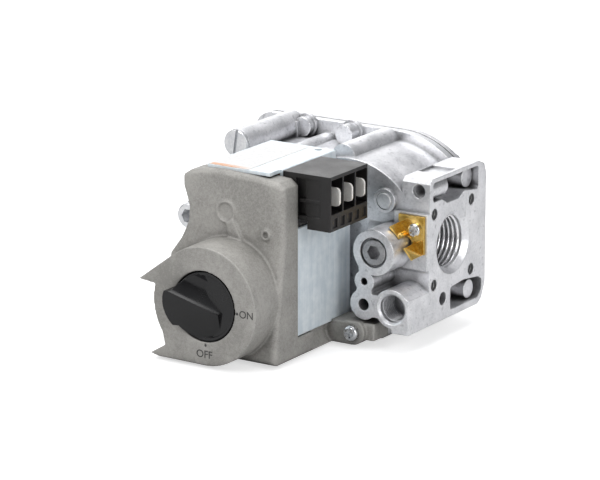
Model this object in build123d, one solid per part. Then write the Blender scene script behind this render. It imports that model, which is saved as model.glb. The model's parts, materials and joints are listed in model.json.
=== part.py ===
from build123d import *
import math
import os

# Combination gas valve with a hand knob, two solenoids and a servo regulator.
# Millimetres.  The origin is the centre of the outlet port's face, +X points out of
# that port, the knob faces -Y and +Z is up.

# ---- Driving dimensions -------------------------------------------------------------

port_spacing = 96.0            # outlet face to inlet face
base_drop = 32.3               # port axis down to the surface that the valve stands on
port_radius = 9.2              # minor radius of the half-inch pipe thread
port_thread_length = 14.0
port_mouth_radius = 11.1       # countersink at each port's face
passage_radius = 8.4
screw_square = 25.0            # four flange screws at the corners of this square
flange_screw_radius = 2.0
inlet_screw_radius = 2.4       # a guess, unlike the outlet's so that the two can be told apart
flange_screw_depth = 9.0

hub_radius = 17.4              # round hub about the port axis
chamber_x = -32.0              # axis of the diaphragm chamber, parallel to Y
diaphragm_radius = 24.5        # inside of the chamber
chamber_wall = 4.0
body_front = -15.5             # front wall of the chamber
flange_front = 16.5            # front face of the D-shaped back flange
flange_back = 19.6
flange_left = -92.0
flange_top = 31.6
flange_right = -2.5            # the D is cut flat here, inside the outlet block
flange_corner = 7.0
diaphragm_thickness = 0.8
cover_thickness = 2.8
dome_radius = 22.0             # raised spring housing of the back cover
dome_height = 9.0
dome_wall = 2.0

outlet_block_width = 11.0
outlet_block_top = 25.0
outlet_block_bottom = -26.3
outlet_block_back = 22.4
inlet_block_width = 11.0
inlet_block_half = 16.5

seat_face = 12.6               # sealing face of the main seat
seat_outer = 12.5
seat_inner = 10.5
seat_height = 1.6
outlet_chamber_radius = 13.0

shaft_radius = 3.0
knob_x = -50.0
knob_z = -11.8
boss_radius = base_drop + knob_z
boss_face = -78.3
plate_front = -62.0            # front face of the operator casting's plate
plate_foot_front = -68.0       # the same face at the foot, where it flares forward
plate_thickness = 3.0
casting_right = -29.0
casting_back = -52.8           # rear edge of the casting's side walls
casting_top = 30.6
ring_x = -51.8                 # embossed ring on the plate
ring_z = 17.2
knob_gap = 0.5                 # between the knob and its recess
knob_recess_depth = 7.3
knob_radius = 11.8
knob_grip_height = 6.4
knob_dish = 1.0                # depth of the dished face, from the boss's face
grip_overhang = 1.1            # how far the grip's high end reaches past the disc

plug_radius = 8.0              # rotary shut-off plug
plug_front = -11.0
plug_back = 11.0
plug_bore = 5.0
running_gap = 0.05             # radial clearance of a shaft in its bore

sheet = 1.2                    # solenoid cover's sheet steel
cover_left = -62.3
cover_right = -29.6
cover_top = 31.8
cover_bottom = -25.5
cover_front = -52.5
cover_rear = -19.3
cover_step_x = -35.4           # the terminal block stands in the notch above this step
cover_step_z = 12.5

coil_centres = {"main": (-52.4, 21.4), "pilot": (-39.8, 2.6)}
coil_radius = 7.8
coil_front = -49.6
coil_rear = -22.4
tube_outer = 4.3
tube_inner = 3.9
core_rear = -38.5
plunger_front = -36.2
solenoid_seat = -12.5          # face that each plunger's pad seals on

block_left = -35.2             # terminal block
block_right = -16.5
block_front = -52.8
block_bottom = 12.8
block_top = 31.6
terminal_pitch = 7.7
cavity_width = 6.9
cavity_depth = 9.0
tab_proud = 1.3                # how far the spades stand out of their cavities
terminal_z = 24.2
tab_width = 6.35
tab_thickness = 0.8

tower_x = -76.0                # regulator tower
tower_z = 28.8
tower_bore = 4.0
tower_wall = 1.0
tower_front = -19.0
tower_back = 12.0

tap_x = -13.9                  # outlet tapping
tap_z = 0.9
tap_boss_radius = 8.0
tap_face = -29.5
tap_plug_radius = 4.6
tap_hex = 4.6
inlet_tap_x = -89.7
inlet_tap_z = 3.0

pilot_x = -6.6                 # pilot gas outlet
pilot_z = -17.9
pilot_radius = 4.8
pilot_depth = 10.0
pilot_boss_radius = 6.8
adjuster_x = -17.7             # pilot adjusting screw
adjuster_z = -17.9
adjuster_bore = 2.1
bleed_x = -17.5
bleed_z = -9.7

bracket_x = -4.5               # threaded hole for a bracket screw
bracket_z = 20.6
bracket_radius = 2.45
bracket_end = -4.5

plug_boss_x = -17.3            # blind boss of the passage plug
plug_boss_z = 15.9

clip_sheet = 0.8               # ground clip
clip_leg = 6.6
clip_fold = 86
clip_screw_x = -4.3
clip_screw_z = 7.8
cover_tab_screw_x = -40.6
cover_tab_screw_z = 24.0

foot_screw_x = -21.0
foot_screw_z = -27.9
ear_front = -31.5              # front of the casting's ear under the foot screw
ear_rear = -20.0
cover_screw_radius = 1.9

# ---- Values worked out from them ----------------------------------------------------

inlet_face = -port_spacing
chamber_radius = diaphragm_radius + chamber_wall
tower_radius = tower_bore + tower_wall
knob_recess_radius = knob_radius + knob_gap
grip_reach = knob_radius + grip_overhang
block_wall = terminal_pitch - cavity_width
terminal_first = block_front + block_wall + cavity_width / 2
block_rear = block_front + 3 * terminal_pitch + block_wall
tongue_front = plate_front + plate_thickness + 0.2
cover_seat = flange_back + diaphragm_thickness
cover_back = cover_seat + cover_thickness
dome_back = cover_back + dome_height
seat_floor = seat_face - seat_height
half_square = screw_square / 2
grip_front = boss_face - knob_grip_height
flange_radius = (flange_top + base_drop) / 2
flange_z = (flange_top - base_drop) / 2
rib_x, rib_z = -36.5, 27.8     # half-round rib along the top, above the chamber
row_z = flange_top - 3.6       # height of the cover screws' top row
# Cover screws: place in X and Z, and how far forward each hole reaches.
cover_screw_places = [(x, side * row_z, front)
                      for x, front in ((rib_x, 9.0), (-50.5, 11.0), (-69.5, 13.5))
                      for side in (-1, 1)]
cover_screw_places += [(x, side * z, flange_front + 0.3)
                       for x, z in ((-14.5, 21.4), (-85.5, 25.4))
                       for side in (-1, 1)]


# ---- Small helpers ------------------------------------------------------------------

def block(x0, x1, y0, y1, z0, z1):
    size = Box(x1 - x0, y1 - y0, z1 - z0)
    return Pos((x0 + x1) / 2, (y0 + y1) / 2, (z0 + z1) / 2) * size


def rod_x(radius, x0, x1, y=0.0, z=0.0):
    return Pos((x0 + x1) / 2, y, z) * Rot(0, 90, 0) * Cylinder(radius, x1 - x0)


def rod_y(radius, y0, y1, x, z):
    return Pos(x, (y0 + y1) / 2, z) * Rot(90, 0, 0) * Cylinder(radius, y1 - y0)


def ring_y(outer, inner, y0, y1, x, z):
    return rod_y(outer, y0, y1, x, z) - rod_y(inner, y0, y1, x, z)


def cone_y(radius0, radius1, y0, y1, x, z):
    return Pos(x, (y0 + y1) / 2, z) * Rot(-90, 0, 0) * Cone(radius0, radius1, y1 - y0)


def cone_x(radius0, radius1, x0, x1, y=0.0, z=0.0):
    return Pos((x0 + x1) / 2, y, z) * Rot(0, 90, 0) * Cone(radius0, radius1, x1 - x0)


def prism_y(sketch, y0, y1, taper=0.0):
    """A sketch in X and Z, made solid from y1 forward to y0."""
    return extrude(Plane.XZ.offset(-y1) * sketch, amount=y1 - y0, taper=taper)


def prism_x(points, x0, x1):
    """A polygon of (y, z) points, made solid from x0 to x1."""
    outline = make_face(Polyline(*[(x0, y, z) for y, z in points], close=True))
    return extrude(outline, amount=x1 - x0, dir=(1, 0, 0))


def flat_polygon(points):
    return make_face(Polyline(*points, close=True))


def rounded_block(x0, x1, y0, y1, z0, z1, radius, axis):
    solid = block(x0, x1, y0, y1, z0, z1)
    return fillet(solid.edges().filter_by(axis), radius)


def hex_y(across_flats, y0, y1, x, z):
    outline = Pos(x, z) * RegularPolygon(across_flats / math.sqrt(3), 6)
    return prism_y(outline, y0, y1)


def coil_spring(mean_radius, wire_radius, y0, y1, turns, x, z):
    """A helical compression spring about an axis along Y, its wire between y0 and y1."""
    length = y1 - y0 - 2 * wire_radius
    path = Helix(pitch=length / turns, height=length, radius=mean_radius)
    wire = sweep(Plane(origin=path @ 0, z_dir=path % 0) * Circle(wire_radius), path=path)
    return Pos(x, y0 + wire_radius, z) * Rot(-90, 0, 0) * wire


def pan_screw(head_radius, head_height, shank_radius, length, y_seat, x, z, slot_width=0.9):
    """A cross-recess pan screw driven in +Y, its head in front of y_seat."""
    head = rod_y(head_radius, y_seat - head_height, y_seat, x, z)
    front = head.faces().sort_by(Axis.Y)[0]
    head = fillet(front.edges(), head_height * 0.55)
    arm = head_radius * 0.62
    depth = head_height * 0.6
    cross = block(x - arm, x + arm, y_seat - head_height, y_seat - head_height + depth,
                  z - slot_width / 2, z + slot_width / 2)
    cross += block(x - slot_width / 2, x + slot_width / 2, y_seat - head_height,
                   y_seat - head_height + depth, z - arm, z + arm)
    return head - cross + rod_y(shank_radius, y_seat, y_seat + length, x, z)


# ---- Valve body ---------------------------------------------------------------------

def flange_outline(grow=0.0):
    """The D-shaped outline that the back flange, diaphragm and cover share."""
    left, right = flange_left - grow, flange_right + grow
    half = flange_radius + grow
    outline = Pos(chamber_x, flange_z) * Circle(half)
    square = Pos((left + chamber_x) / 2, flange_z) * Rectangle(chamber_x - left, 2 * half)
    corners = square.vertices().group_by(Axis.X)[0]
    outline += fillet(corners, flange_corner)
    keep = Pos((left + right) / 2, flange_z) * Rectangle(right - left, 2 * half)
    return outline & keep


def lightening_pocket(points, depth):
    """A relief sunk into the outlet face, from a polygon of (y, z) points."""
    pocket = prism_x(points, -depth, 0)
    return fillet(pocket.edges().filter_by(Axis.X), 1.2)


def outlet_block():
    side = [(body_front, outlet_block_top - 1.5), (body_front + 1.5, outlet_block_top),
            (outlet_block_back - 5, outlet_block_top), (outlet_block_back - 1.4, 23.6),
            (outlet_block_back, 20.0), (outlet_block_back, -19.4),
            (outlet_block_back - 2.4, -24.6), (outlet_block_back - 5, outlet_block_bottom),
            (body_front, outlet_block_bottom)]
    solid = prism_x(side, -outlet_block_width, 0)
    solid += block(-outlet_block_width - 2, 0, -hub_radius, body_front, -6.5, 13.2)
    return solid


def pilot_block():
    face = Pos(pilot_x, pilot_z) * Circle(pilot_boss_radius)
    face += flat_polygon([(pilot_x, outlet_block_bottom), (0, outlet_block_bottom),
                          (0, -14.2), (pilot_x + 4.8, -13.1), (pilot_x, -11.4)])
    face += Pos(adjuster_x, adjuster_z) * Circle(5.3)
    face += Pos(bleed_x, bleed_z) * Circle(3.8)
    face += flat_polygon([(pilot_x, pilot_z + 4), (pilot_x, pilot_z - 4),
                          (adjuster_x, adjuster_z - 4), (adjuster_x, adjuster_z + 4)])
    face += flat_polygon([(adjuster_x - 3.4, adjuster_z), (adjuster_x + 3.4, adjuster_z),
                          (bleed_x + 2.6, bleed_z), (bleed_x - 2.6, bleed_z)])
    face += flat_polygon([(bleed_x - 1.8, bleed_z), (bleed_x + 2.2, bleed_z),
                          (tap_x - 1.5, tap_z - 4), (tap_x - 6, tap_z - 4)])
    return prism_y(face, tap_face, 0) & block(-60, 0, tap_face, 0, -base_drop, 10)


def screw_tower(x, z, front):
    """Stepped round boss on the flange's front face, round a cover screw."""
    reach = z + math.copysign(1.2, z)
    return rod_y(3.5, front - 1.2, flange_front, x, reach) + rod_y(4.3, flange_front - 1.4,
                                                                  flange_front, x, reach)


def body_castings():
    """Everything of the body that stands up, before any bore is cut."""
    solid = prism_y(flange_outline(), flange_front, flange_back)
    solid += rod_y(chamber_radius, body_front, flange_front, chamber_x, 0)
    solid += rounded_block(-80, chamber_x, body_front, flange_front, -24.5, 25.5, 3.0, Axis.Y)
    solid += rod_x(hub_radius, -24, 0)
    solid += rod_x(hub_radius, inlet_face + 2, -74)
    solid += rounded_block(inlet_face, inlet_face + inlet_block_width, -inlet_block_half,
                           inlet_block_half, -inlet_block_half, inlet_block_half, 2.5, Axis.X)
    solid += outlet_block()
    solid += pilot_block()
    solid += rod_y(tap_boss_radius, tap_face, 0, tap_x, tap_z)
    solid += rod_y(6.5, -24, 0, inlet_tap_x + 1.5, inlet_tap_z)
    # blind boss of the passage plug
    solid += rod_y(4.2, body_front - 1.6, 0, plug_boss_x, plug_boss_z)
    # half-round ribs that carry the servo gas along the top and bottom
    for side in (-1, 1):
        solid += rod_y(4.6, body_front + 3, flange_front, rib_x, side * rib_z)
    # regulator tower and the walls that it grows from
    solid += rod_y(tower_radius, tower_front, flange_front, tower_x, tower_z)
    solid += block(tower_x - 3.4, tower_x + 3.4, tower_front + 8, flange_front, 20, tower_z)
    solid += block(tower_x + 3, tower_x + 5.4, tower_back - 1.2, flange_front, 20, 31.2)
    solid += rod_y(3.4, -4, flange_front, -61.0, 24.2)
    for x, z, front in cover_screw_places:
        if front < flange_front and x != rib_x:
            solid += screw_tower(x, z, front)
    # lug behind the operator casting's ear
    solid += rounded_block(foot_screw_x - 6.5, foot_screw_x + 6.5, ear_rear + 0.4, 4,
                           -base_drop, -20, 2.5, Axis.Y)
    return solid


def body_passages():
    """Ports, gas ways and chambers, as one tool to cut from the body."""
    tool = rod_x(port_radius, -port_thread_length, 0)
    tool += cone_x(port_radius, port_mouth_radius, -1.9, 0)
    tool += rod_x(passage_radius, chamber_x, -port_thread_length)
    tool += rod_x(port_radius, inlet_face, inlet_face + port_thread_length)
    tool += cone_x(port_mouth_radius, port_radius, inlet_face, inlet_face + 1.9)
    tool += rod_x(passage_radius, inlet_face + port_thread_length, -66)
    tool += rod_x(5.4, -80, knob_x, 0, knob_z + 2)
    tool += rod_y(outlet_chamber_radius, -10, seat_floor - 2.5, chamber_x, 0)
    tool += rod_y(seat_inner, -10, seat_face, chamber_x, 0)
    tool += ring_y(diaphragm_radius, seat_outer, seat_floor, seat_face, chamber_x, 0)
    tool += rod_y(diaphragm_radius, seat_face, flange_back, chamber_x, 0)
    # seat of the shut-off plug and its shaft
    tool += rod_y(plug_radius + running_gap, plug_front, flange_back, knob_x, knob_z)
    tool += rod_y(shaft_radius + running_gap, body_front, plug_front, knob_x, knob_z)
    # solenoid seats, the main one with its pilot way
    for x, z in coil_centres.values():
        tool += rod_y(tube_outer, body_front, solenoid_seat, x, z)
    main_x, main_z = coil_centres["main"]
    tool += rod_y(0.8, solenoid_seat, seat_face, main_x + 3, main_z - 3)
    return tool


def body_holes():
    """Screw holes and tappings, as one tool."""
    tool = rod_y(pilot_radius, tap_face, tap_face + pilot_depth, pilot_x, pilot_z)
    tool += cone_y(pilot_radius + 0.8, pilot_radius, tap_face, tap_face + 0.8, pilot_x, pilot_z)
    tool += rod_y(1.2, tap_face, -10, pilot_x, pilot_z)
    tool += rod_y(adjuster_bore, tap_face, -12, adjuster_x, adjuster_z)
    tool += rod_y(1.3, tap_face, -20, bleed_x, bleed_z)
    tool += rod_y(tap_plug_radius + 0.7, tap_face, tap_face + 1.2, tap_x, tap_z)
    tool += rod_y(4.2, tap_face, -21, tap_x, tap_z)
    tool += rod_y(1.0, -21, -8, tap_x, tap_z)
    tool += rod_y(3.8, -24, -17, inlet_tap_x, inlet_tap_z)
    tool += rod_y(1.0, -17, -8, inlet_tap_x, inlet_tap_z)
    tool += rod_y(bracket_radius, body_front, bracket_end, bracket_x, bracket_z)
    tool += rod_y(3.1, body_front - 1.6, body_front - 0.4, plug_boss_x, plug_boss_z)
    tool += rod_y(1.5, -hub_radius, -13, clip_screw_x, clip_screw_z)
    tool += rod_x(2.3, -8, 0, -6.5, -18.6)
    for y in (-half_square, half_square):
        for z in (-half_square, half_square):
            tool += rod_x(flange_screw_radius, -flange_screw_depth, 0, y, z)
            tool += rod_x(inlet_screw_radius, inlet_face, inlet_face + flange_screw_depth, y, z)
    for x, z, front in cover_screw_places:
        tool += rod_y(cover_screw_radius, front, flange_back, x, z)
    tool += rod_y(1.9, ear_rear, -6, foot_screw_x, foot_screw_z)
    tool += rod_y(1.6, body_front, -8, cover_tab_screw_x, cover_tab_screw_z)
    tool += rod_y(tower_bore, tower_front, 9, tower_x, tower_z)
    tool += rod_y(1.2, 9, flange_back, tower_x, tower_z)
    return tool


def outlet_face_reliefs():
    """Weight-saving pockets beside the outlet, with the round bosses left inside them."""
    upper = lightening_pocket([(-13.6, 23.6), (17.2, 23.6), (17.2, 15.2), (8.0, 16.6),
                               (4.0, 14.8), (-4.0, 14.8), (-7.5, 16.8), (-13.6, 16.8)], 8.5)
    upper -= rod_x(3.6, -8.5, -2.6, 13.4, 19.8)
    upper -= rod_y(bracket_radius + 1.6, -14, bracket_end + 1.5, bracket_x, bracket_z)
    lower = lightening_pocket([(-1.4, -15.8), (7.6, -15.2), (17.6, -16.4), (20.2, -17.8),
                               (20.2, -21.6), (17.8, -23.9), (-1.4, -23.9)], 8.0)
    lower -= rod_x(3.3, -8.0, -1.6, 13.6, -20.2)
    return upper + lower


def valve_body():
    solid = body_castings() - body_passages() - body_holes() - outlet_face_reliefs()
    # the outlet block is cut back round the cover that seats beside it
    solid -= prism_y(flange_outline(0.3), flange_back, outlet_block_back + 1)
    # scooped shoulder beside the bracket screw's pad
    solid -= block(-outlet_block_width + 0.4, -1.4, -6, 3.6, outlet_block_top - 0.8, 40)
    return solid


# ---- Back of the valve --------------------------------------------------------------

def back_cover():
    solid = prism_y(flange_outline(), cover_seat, cover_back)
    rim = solid.faces().sort_by(Axis.Y)[-1]
    solid = fillet(rim.edges(), 0.8)
    dome = rod_y(dome_radius, cover_back - 0.5, dome_back, chamber_x, 0)
    solid += fillet(dome.faces().sort_by(Axis.Y)[-1].edges(), 3.0)
    for angle in range(0, 360, 60):
        web = block(0, dome_radius + 1.6, cover_back - 1, cover_back + 3, -1.2, 1.2)
        solid += Pos(chamber_x, 0, 0) * Rot(0, angle, 0) * web
    solid -= rod_y(dome_radius - dome_wall, cover_seat, dome_back - dome_wall, chamber_x, 0)
    for x, z, front in cover_screw_places:
        solid -= rod_y(cover_screw_radius + 0.3, cover_seat, cover_back, x, z)
    return solid


def cover_screws():
    """Pan screws driven from the back."""
    screws = []
    for x, z, front in cover_screw_places:
        length = cover_back - front - 0.2
        screw = pan_screw(3.2, 2.2, cover_screw_radius, length, 0, x, -z)
        screws.append(Pos(0, cover_back, 0) * Rot(180, 0, 0) * screw)
    return Compound(children=screws)


def main_diaphragm():
    sheet_disc = prism_y(flange_outline(-0.3), flange_back, cover_seat)
    sheet_disc -= rod_y(1.4, flange_back, cover_seat, chamber_x, 0)
    for x, z, front in cover_screw_places:
        sheet_disc -= rod_y(cover_screw_radius + 0.3, flange_back, cover_seat, x, z)
    return sheet_disc


def diaphragm_plates():
    """Stiffening discs clamped on both sides of the diaphragm."""
    front = rod_y(17.0, flange_back - 1.5, flange_back, chamber_x, 0)
    back = rod_y(17.0, cover_seat, cover_seat + 1.2, chamber_x, 0)
    hole = rod_y(1.4, flange_back - 2, cover_seat + 2, chamber_x, 0)
    return Compound(children=[front - hole, back - hole])


def main_valve_stem():
    stem = rod_y(3.0, seat_face + 3.5, flange_back - 1.5, chamber_x, 0)
    stem += rod_y(1.4, flange_back - 1.5, cover_seat + 2.6, chamber_x, 0)
    stem += rod_y(2.4, cover_seat + 1.2, cover_seat + 2.6, chamber_x, 0)
    stem += rod_y(12.0, seat_face + 2.0, seat_face + 3.5, chamber_x, 0)
    return stem


def main_valve_disc():
    return rod_y(12.2, seat_face, seat_face + 2.0, chamber_x, 0)


def main_valve_spring():
    return coil_spring(8.0, 0.6, cover_seat + 1.2, dome_back - dome_wall, 4, chamber_x, 0)


# ---- Operator casting and knob ------------------------------------------------------

def boss_outline():
    """Round knob boss with two pointed horns on its left, in X and Z."""
    tip = (knob_x - 26.6, knob_z + 5.8)
    reach = math.hypot(tip[0] - knob_x, tip[1] - knob_z)
    bearing = math.atan2(tip[1] - knob_z, tip[0] - knob_x)
    touch = bearing - math.acos(boss_radius / reach)
    upper = (knob_x + boss_radius * math.cos(touch), knob_z + boss_radius * math.sin(touch))
    horns = flat_polygon([upper, tip, (tip[0] + 6.7, tip[1] - 0.7), (tip[0] + 8.0, tip[1] - 8),
                          (tip[0] + 9.0, tip[1] - 15), (tip[0] + 10.5, tip[1] - 21.7),
                          (tip[0] + 4.5, tip[1] - 25.3), (tip[0] + 8, tip[1] - 26.1),
                          (knob_x, -base_drop), (knob_x, knob_z)])
    return Pos(knob_x, knob_z) * Circle(boss_radius) + horns


def plate_outline():
    return flat_polygon([(casting_right, -base_drop), (-70.0, -base_drop), (-74.6, -27.0),
                         (-74.6, -0.3), (-70.8, 5.2), (-67.9, 11.9), (-67.6, 16.5),
                         (-68.4, 19.6), (-69.8, 23.8), (-69.8, 27.5), (-67.0, 29.4),
                         (-61.0, casting_top + 0.2), (-54.0, casting_top + 0.6),
                         (-44.0, casting_top), (casting_right - 2.5, casting_top - 1.0),
                         (casting_right, casting_top - 3.0)])


def operator_casting():
    front = prism_x([(plate_front, 40), (plate_front, 8), (plate_foot_front, -base_drop),
                     (casting_back, -base_drop), (casting_back, 40)], -80, casting_right)
    solid = front & prism_y(plate_outline(), plate_foot_front, casting_back)
    outer = solid.edges().filter_by(lambda edge: edge.center().Y < plate_front + 0.3)
    solid = fillet(outer, 2.0)
    inside = plate_front + plate_thickness
    solid -= block(-66.5, casting_right - plate_thickness, inside, casting_back,
                   cover_bottom - 1.5, 27.5)
    solid -= block(-80, cover_step_x, inside, casting_back, cover_top - sheet - 0.1, 40)
    solid += prism_y(boss_outline(), boss_face, inside)
    # foot that runs back under the solenoid cover
    solid += block(-64, casting_right, casting_back - 0.5, ear_rear, -base_drop,
                   cover_bottom - 0.1)
    # ear of the foot screw
    ear = rod_y(4.6, ear_front, ear_rear, foot_screw_x, foot_screw_z + 0.2)
    ear += block(casting_right - 0.4, foot_screw_x, ear_front, ear_rear, -base_drop, -24.4)
    ear += block(foot_screw_x, foot_screw_x + 7.5, ear_front + 2, ear_rear, -30.5, -24.4)
    solid += ear & block(-60, 0, -40, 0, -base_drop, -23.9)
    solid -= rod_y(5.2, ear_front - 12, ear_front, foot_screw_x - 5.4, foot_screw_z)
    # knob recess, shaft bore and the embossed marks of the front
    solid -= rod_y(knob_recess_radius, boss_face, boss_face + knob_recess_depth, knob_x, knob_z)
    solid -= rod_y(shaft_radius + running_gap, boss_face, casting_back, knob_x, knob_z)
    solid += ring_y(3.9, 3.1, plate_front - 0.8, plate_front + 0.5, ring_x, ring_z)
    ridge = flat_polygon([(ring_x + 0.4, ring_z - 3.3), (ring_x + 3.2, ring_z - 2.2),
                          (ring_x + 7.4, knob_z + 19), (ring_x + 1.6, knob_z + 19)])
    solid += prism_y(ridge, plate_front - 1.2, plate_front + 0.5)
    solid += ring_y(1.9, 1.0, plate_front - 0.9, plate_front + 0.5, ring_x + 16, ring_z - 5.8)
    solid -= rod_y(2.2, ear_front, ear_rear, foot_screw_x, foot_screw_z)
    dot_reach = knob_recess_radius + 0.8
    for x, z in ((knob_x + dot_reach, knob_z - 0.3), (knob_x + 0.4, knob_z - dot_reach)):
        solid -= rod_y(0.45, boss_face, boss_face + 0.5, x, z)
    return solid


def half_space(first, second, third):
    """The space in front (-Y) of the plane through three points."""
    first, second, third = Vector(*first), Vector(*second), Vector(*third)
    normal = (second - first).cross(third - first).normalized()
    if normal.Y > 0:
        normal = normal * -1
    side = Box(80, 80, 80, align=(Align.CENTER, Align.CENTER, Align.MIN))
    return Plane(origin=first, z_dir=normal) * side


def scoop(first, second, base, radius):
    """A cylinder along the line first-second that hollows the facet from it to base."""
    first, second, base = Vector(*first), Vector(*second), Vector(*base)
    along = (second - first).normalized()
    nearest = first + along * (base - first).dot(along)
    chord = base - nearest
    outward = chord.cross(along).normalized()
    if outward.Y > 0:
        outward = outward * -1
    rise = math.sqrt(radius ** 2 - (chord.length / 2) ** 2)
    centre = nearest + chord * 0.5 + outward * rise
    return Plane(origin=centre, z_dir=along) * Cylinder(radius, 60)


def control_knob():
    """Black knob: a dished disc with a pointer nub and a ridged grip that overhangs it."""
    back = boss_face + knob_recess_depth - 0.7
    disc = rod_y(knob_radius, boss_face + 0.3, back, knob_x, knob_z)
    disc -= rod_y(knob_radius - 1.0, boss_face + 0.3, boss_face + knob_dish, knob_x, knob_z)
    rim = knob_z - knob_radius
    nub = flat_polygon([(knob_x - 2.8, rim + 1.8), (knob_x - 1.6, rim - 0.4),
                        (knob_x + 0.4, rim + 1.8)])
    disc += prism_y(nub, boss_face + 0.3, boss_face + 2.0)
    # the ridge runs from the high left end down to the disc, between two facets
    high = (knob_x - knob_radius + 1.3, grip_front, knob_z + 5.4)
    low = (knob_x + knob_radius - 6.6, boss_face - 0.6, knob_z - 1.8)
    upper_base = (knob_x + 0.5, boss_face + 0.8, knob_z + knob_radius - 3.0)
    roof = half_space(high, low, (knob_x - 1, boss_face + 0.8, rim - 1.2))
    roof += half_space(high, low, upper_base)
    bar = rod_y(grip_reach, grip_front - 1, boss_face - 0.4, knob_x, knob_z)
    bar &= block(knob_x - 20, knob_x - knob_radius + 5.8, grip_front - 1, boss_face,
                 knob_z - 7.2, knob_z + 5.4)
    inside = rod_y(knob_radius - 0.6, grip_front - 1, boss_face + knob_dish, knob_x, knob_z)
    grip = inside + bar - roof - scoop(high, low, upper_base, 7.0)
    # the grip ends short of the rim on the low side
    grip -= block(low[0] + 0.6, knob_x + 14, grip_front - 1, boss_face + knob_dish,
                  knob_z - 14, knob_z + 14)
    return disc + grip - rod_y(shaft_radius, boss_face + 2, back, knob_x, knob_z)


def knob_shaft():
    """Steel shaft from the knob to the shut-off plug."""
    return rod_y(shaft_radius, boss_face + 2, plug_front + 6, knob_x, knob_z)


def shutoff_plug():
    """Rotary plug: a side window lets gas into its hollow, which opens at the back."""
    plug = rod_y(plug_radius, plug_front, plug_back, knob_x, knob_z)
    plug -= rod_y(plug_bore, plug_front + 5.5, plug_back, knob_x, knob_z)
    window = Pos(knob_x, 0, knob_z + plug_radius / 2) * Cylinder(4.4, plug_radius)
    plug -= window
    plug -= rod_y(shaft_radius, plug_front, plug_front + 6, knob_x, knob_z)
    return plug


def plug_retaining_ring():
    return ring_y(plug_radius + running_gap, plug_bore + 0.6, plug_back + 0.2, plug_back + 1.6,
                  knob_x, knob_z)


def knob_washer():
    return ring_y(8.0, shaft_radius + 0.3, boss_face + knob_recess_depth - 0.5,
                  boss_face + knob_recess_depth, knob_x, knob_z)


def shaft_seal():
    """Rubber seal round the shaft, held against the body's front wall."""
    return ring_y(5.5, shaft_radius + running_gap, body_front - 2.0, body_front, knob_x, knob_z)


def foot_screw():
    return pan_screw(2.7, 2.0, 1.9, ear_rear + 6 - ear_front, ear_front, foot_screw_x, foot_screw_z)


# ---- Solenoids ----------------------------------------------------------------------

def cover_profile(inset):
    return flat_polygon([(cover_left + inset, cover_bottom + inset),
                         (cover_right - inset, cover_bottom + inset),
                         (cover_right - inset, cover_step_z - inset),
                         (cover_step_x - inset, cover_step_z - inset),
                         (cover_step_x - inset, cover_top - inset),
                         (cover_left + inset, cover_top - inset)])


def solenoid_cover():
    outer = prism_y(cover_profile(0), cover_front, cover_rear)
    outer = fillet(outer.edges().filter_by(Axis.Y), 0.6)
    solid = outer - prism_y(cover_profile(sheet), cover_front, cover_rear - sheet)
    for x, z in coil_centres.values():
        solid -= rod_y(tube_outer + 0.2, cover_rear - sheet, cover_rear, x, z)
    solid -= rod_y(shaft_radius + 1, cover_rear - sheet, cover_rear, knob_x, knob_z)
    # the top panel reaches forward to the operator casting's plate
    solid += block(cover_left + 1, cover_step_x - 1, tongue_front, cover_front + 1,
                   cover_top - sheet, cover_top)
    # ear bent down in front of the body, with the screw that holds it
    solid += block(cover_tab_screw_x - 4, cover_tab_screw_x + 3, cover_rear, body_front,
                   cover_tab_screw_z - 4, cover_tab_screw_z + 4)
    solid -= rod_y(1.8, cover_rear - sheet, body_front, cover_tab_screw_x, cover_tab_screw_z)
    solid -= Pos(cover_tab_screw_x, cover_rear - 3.0, cover_top) * Cylinder(1.3, 3 * sheet)
    return solid


def solenoid_cover_screw():
    return pan_screw(2.9, 1.8, 1.6, 10.5, cover_rear - sheet, cover_tab_screw_x, cover_tab_screw_z)


def rating_label():
    """Blank label on top of the solenoid cover."""
    return block(cover_left + 1.2, -45.0, tongue_front + 0.2, -22.0, cover_top, cover_top + 0.15)


def coil_bobbin(name):
    x, z = coil_centres[name]
    bobbin = ring_y(tube_outer + 1.0, tube_outer, coil_front, coil_rear, x, z)
    bobbin += ring_y(coil_radius, tube_outer, coil_front, coil_front + 1.3, x, z)
    bobbin += ring_y(coil_radius, tube_outer, coil_rear - 1.3, coil_rear, x, z)
    return bobbin


def coil_winding(name):
    x, z = coil_centres[name]
    return ring_y(coil_radius - 0.5, tube_outer + 1.0, coil_front + 1.3, coil_rear - 1.3, x, z)


def coil_yoke(name):
    """Steel strap bent round a coil, front, left side and rear."""
    x, z = coil_centres[name]
    half = coil_radius - 1.0
    yoke = block(x - coil_radius, x + half, coil_front - 1.5, coil_front, z - half, z + half)
    yoke += block(x - coil_radius, x + half, coil_rear, coil_rear + 1.5, z - half, z + half)
    yoke += block(x - coil_radius - 0.5, x - coil_radius, coil_front - 1.5, coil_rear + 1.5,
                  z - half, z + half)
    yoke -= rod_y(tube_outer, coil_front - 1.5, coil_rear + 1.5, x, z)
    return yoke


def plunger_tube(name):
    x, z = coil_centres[name]
    return ring_y(tube_outer, tube_inner, coil_front - 1.5, solenoid_seat, x, z)


def fixed_core(name):
    x, z = coil_centres[name]
    return rod_y(tube_inner, coil_front - 1.5, core_rear, x, z)


def plunger(name):
    x, z = coil_centres[name]
    steel = rod_y(tube_inner - running_gap, plunger_front, solenoid_seat - 1.2, x, z)
    return steel - rod_y(2.4, plunger_front, plunger_front + 6, x, z)


def plunger_seal(name):
    x, z = coil_centres[name]
    return rod_y(3.0, solenoid_seat - 1.2, solenoid_seat, x, z)


def plunger_spring(name):
    x, z = coil_centres[name]
    return coil_spring(1.8, 0.25, core_rear, plunger_front + 6, 7, x, z)


# ---- Terminals and earth clip -------------------------------------------------------

def terminal_places():
    return [terminal_first + index * terminal_pitch for index in range(3)]


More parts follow.
